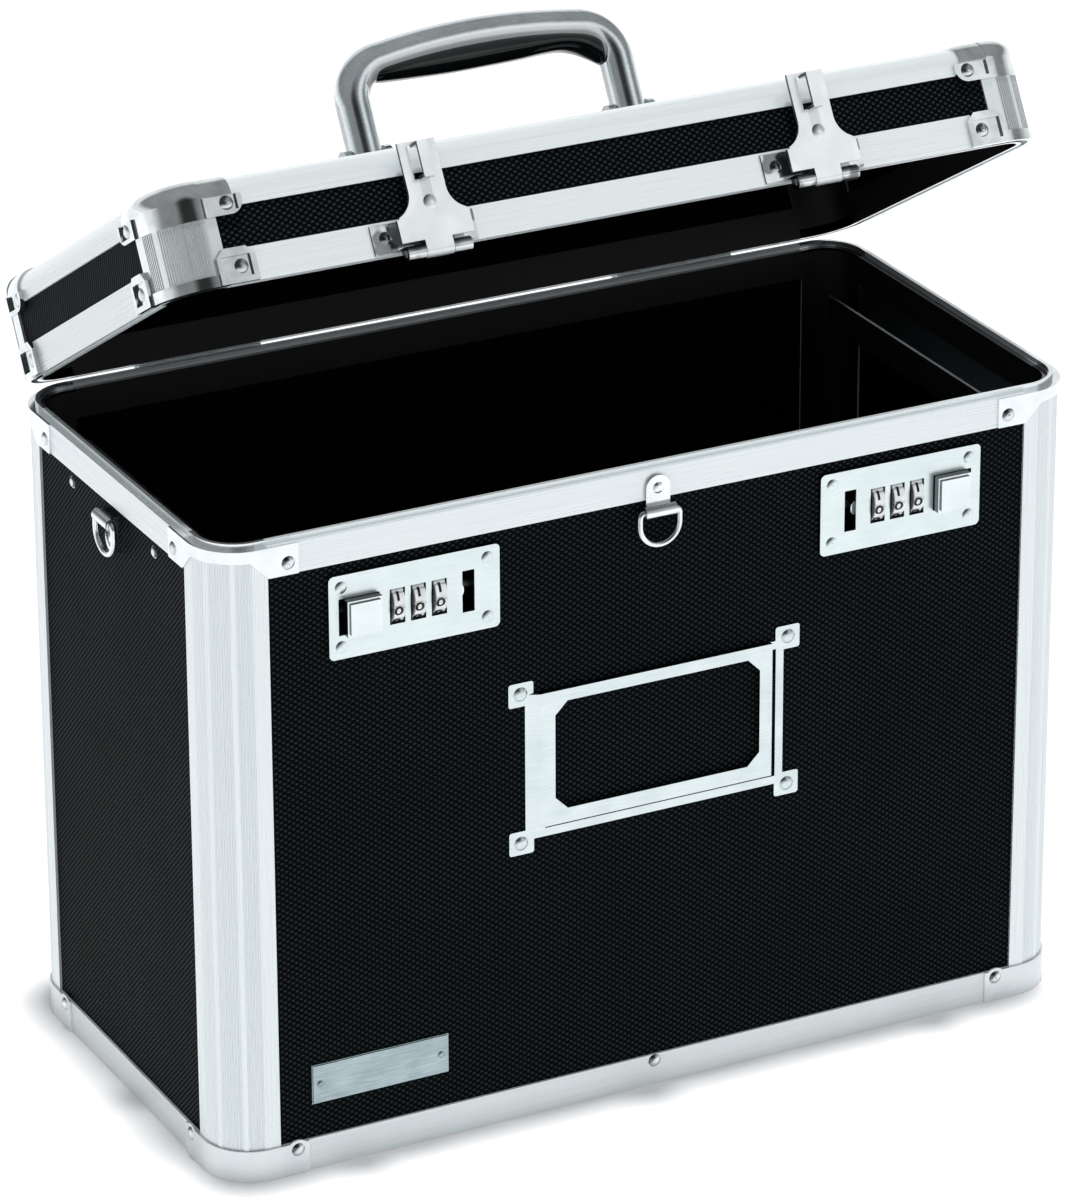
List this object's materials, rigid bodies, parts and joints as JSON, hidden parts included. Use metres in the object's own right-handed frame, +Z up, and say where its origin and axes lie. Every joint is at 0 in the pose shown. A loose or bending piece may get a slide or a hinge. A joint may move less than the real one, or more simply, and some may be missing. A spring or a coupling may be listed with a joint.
{
  "type": "portable file box",
  "caption": "Portable file box with black board walls in rounded aluminium edging, a hinged lid with hasps, combination locks, a folding handle, strap rings and a label holder.",
  "frame": {"origin": "on the ground under the middle of the case, midway between its side walls and between its front and back walls", "axes": "+X runs to the right along the front seen from in front, +Y runs from the front to the back with the hinges, +Z points up; the lid stands open as stored"},
  "size_m": [0.3594, 0.195, 0.3744],
  "materials": {
    "black_board": "black laminate with a fine woven grain",
    "satin_edging": "satin drawn section",
    "polished_corner": "polished",
    "plated_strip": "bright plated strip",
    "inner_steel": "plain",
    "pressed_sheet": "satin pressed sheet",
    "bright_fitting": "bright plated",
    "dial_metal": "bright, with dark numbers",
    "handle_metal": "polished",
    "grip": "smooth black"
  },
  "bodies": {
    "case": {"panel_front": "black_board", "panel_back": "black_board", "panel_left": "black_board", "panel_right": "black_board", "panel_floor": "black_board", "post_front_left": "satin_edging", "post_front_right": "satin_edging", "post_back_left": "satin_edging", "post_back_right": "satin_edging", "rim_rails": "satin_edging", "rim_corners": "polished_corner", "base_rails": "satin_edging", "base_corners": "polished_corner", "case_rivets": "polished_corner", "file_rail_left": "plated_strip", "file_rail_right": "plated_strip", "label_holder": "pressed_sheet", "name_plate": "pressed_sheet", "ring_bracket_front": "bright_fitting", "ring_bracket_left": "bright_fitting", "ring_bracket_right": "bright_fitting", "hinge_leaves_case": "plated_strip", "hinge_pins": "inner_steel", "lock_plate_left": "bright_fitting", "lock_plate_right": "bright_fitting", "lock_housing_left": "inner_steel", "lock_housing_right": "inner_steel", "dial_shafts": "inner_steel", "lock_spring_left": "inner_steel", "lock_spring_right": "inner_steel"},
    "lid": {"lid_top": "black_board", "lid_walls": "black_board", "lid_rim_rails": "satin_edging", "lid_edge_rails": "satin_edging", "lid_posts": "satin_edging", "lid_caps": "polished_corner", "lid_corner_plates": "polished_corner", "lid_rivets": "polished_corner", "hinge_leaves_lid": "plated_strip", "hasp_bases": "bright_fitting", "hasp_pins": "inner_steel", "handle_brackets": "handle_metal", "handle_pins": "inner_steel"},
    "handle": {"handle": "handle_metal", "handle_grip": "grip"},
    "hasp_left": {"hasp_left": "bright_fitting"},
    "hasp_right": {"hasp_right": "bright_fitting"},
    "ring_front": {"strap_ring_front": "bright_fitting"},
    "ring_left": {"strap_ring_left": "bright_fitting"},
    "ring_right": {"strap_ring_right": "bright_fitting"},
    "slide_left": {"lock_button_left": "bright_fitting", "lock_bolt_left": "inner_steel"},
    "slide_right": {"lock_button_right": "bright_fitting", "lock_bolt_right": "inner_steel"},
    "dial_left_1": {"dial_left_1": "dial_metal"},
    "dial_right_1": {"dial_right_1": "dial_metal"},
    "dial_left_2": {"dial_left_2": "dial_metal"},
    "dial_right_2": {"dial_right_2": "dial_metal"},
    "dial_left_3": {"dial_left_3": "dial_metal"},
    "dial_right_3": {"dial_right_3": "dial_metal"}
  },
  "joints": [
    {"name": "lid_hinge", "type": "hinge", "parent": "case", "child": "lid", "pos_m": [0, 0.08865, 0.24815], "axis": [-1, 0, 0], "range_deg": [-30.6, 64]},
    {"name": "handle_fold", "type": "hinge", "parent": "lid", "child": "handle", "pos_m": [0, 0.03635, 0.33386], "axis": [1, 0, 0], "range_deg": [-90, 90]},
    {"name": "hasp_left_turn", "type": "hinge", "parent": "lid", "child": "hasp_left", "pos_m": [-0.0756, -0.06548, 0.33809], "axis": [1, 0, 0], "range_deg": [0, 180]},
    {"name": "hasp_right_turn", "type": "hinge", "parent": "lid", "child": "hasp_right", "pos_m": [0.0796, -0.06548, 0.33809], "axis": [1, 0, 0], "range_deg": [0, 180]},
    {"name": "ring_front_swing", "type": "hinge", "parent": "case", "child": "ring_front", "pos_m": [0, -0.0884, 0.2326], "axis": [-1, 0, 0], "range_deg": [0, 110]},
    {"name": "ring_left_swing", "type": "hinge", "parent": "case", "child": "ring_left", "pos_m": [-0.1774, 0, 0.231], "axis": [0, 1, 0], "range_deg": [0, 110]},
    {"name": "ring_right_swing", "type": "hinge", "parent": "case", "child": "ring_right", "pos_m": [0.1774, 0, 0.231], "axis": [0, -1, 0], "range_deg": [0, 110]},
    {"name": "slide_left", "type": "slide", "parent": "case", "child": "slide_left", "axis": [-1, 0, 0], "range_m": [0, 0.0018], "stiffness_N_per_m": 300, "springref_m": -0.003, "deforming": ["lock_spring_left"]},
    {"name": "slide_right", "type": "slide", "parent": "case", "child": "slide_right", "axis": [1, 0, 0], "range_m": [0, 0.0018], "stiffness_N_per_m": 300, "springref_m": -0.003, "deforming": ["lock_spring_right"]},
    {"name": "dial_left_1_turn", "type": "hinge", "parent": "case", "child": "dial_left_1", "pos_m": [-0.1035, -0.0789, 0.216], "axis": [1, 0, 0], "continuous": true},
    {"name": "dial_right_1_turn", "type": "hinge", "parent": "case", "child": "dial_right_1", "pos_m": [0.0911, -0.0789, 0.216], "axis": [1, 0, 0], "continuous": true},
    {"name": "dial_left_2_turn", "type": "hinge", "parent": "case", "child": "dial_left_2", "pos_m": [-0.0953, -0.0789, 0.216], "axis": [1, 0, 0], "continuous": true},
    {"name": "dial_right_2_turn", "type": "hinge", "parent": "case", "child": "dial_right_2", "pos_m": [0.0993, -0.0789, 0.216], "axis": [1, 0, 0], "continuous": true},
    {"name": "dial_left_3_turn", "type": "hinge", "parent": "case", "child": "dial_left_3", "pos_m": [-0.0871, -0.0789, 0.216], "axis": [1, 0, 0], "continuous": true},
    {"name": "dial_right_3_turn", "type": "hinge", "parent": "case", "child": "dial_right_3", "pos_m": [0.1075, -0.0789, 0.216], "axis": [1, 0, 0], "continuous": true}
  ]
}
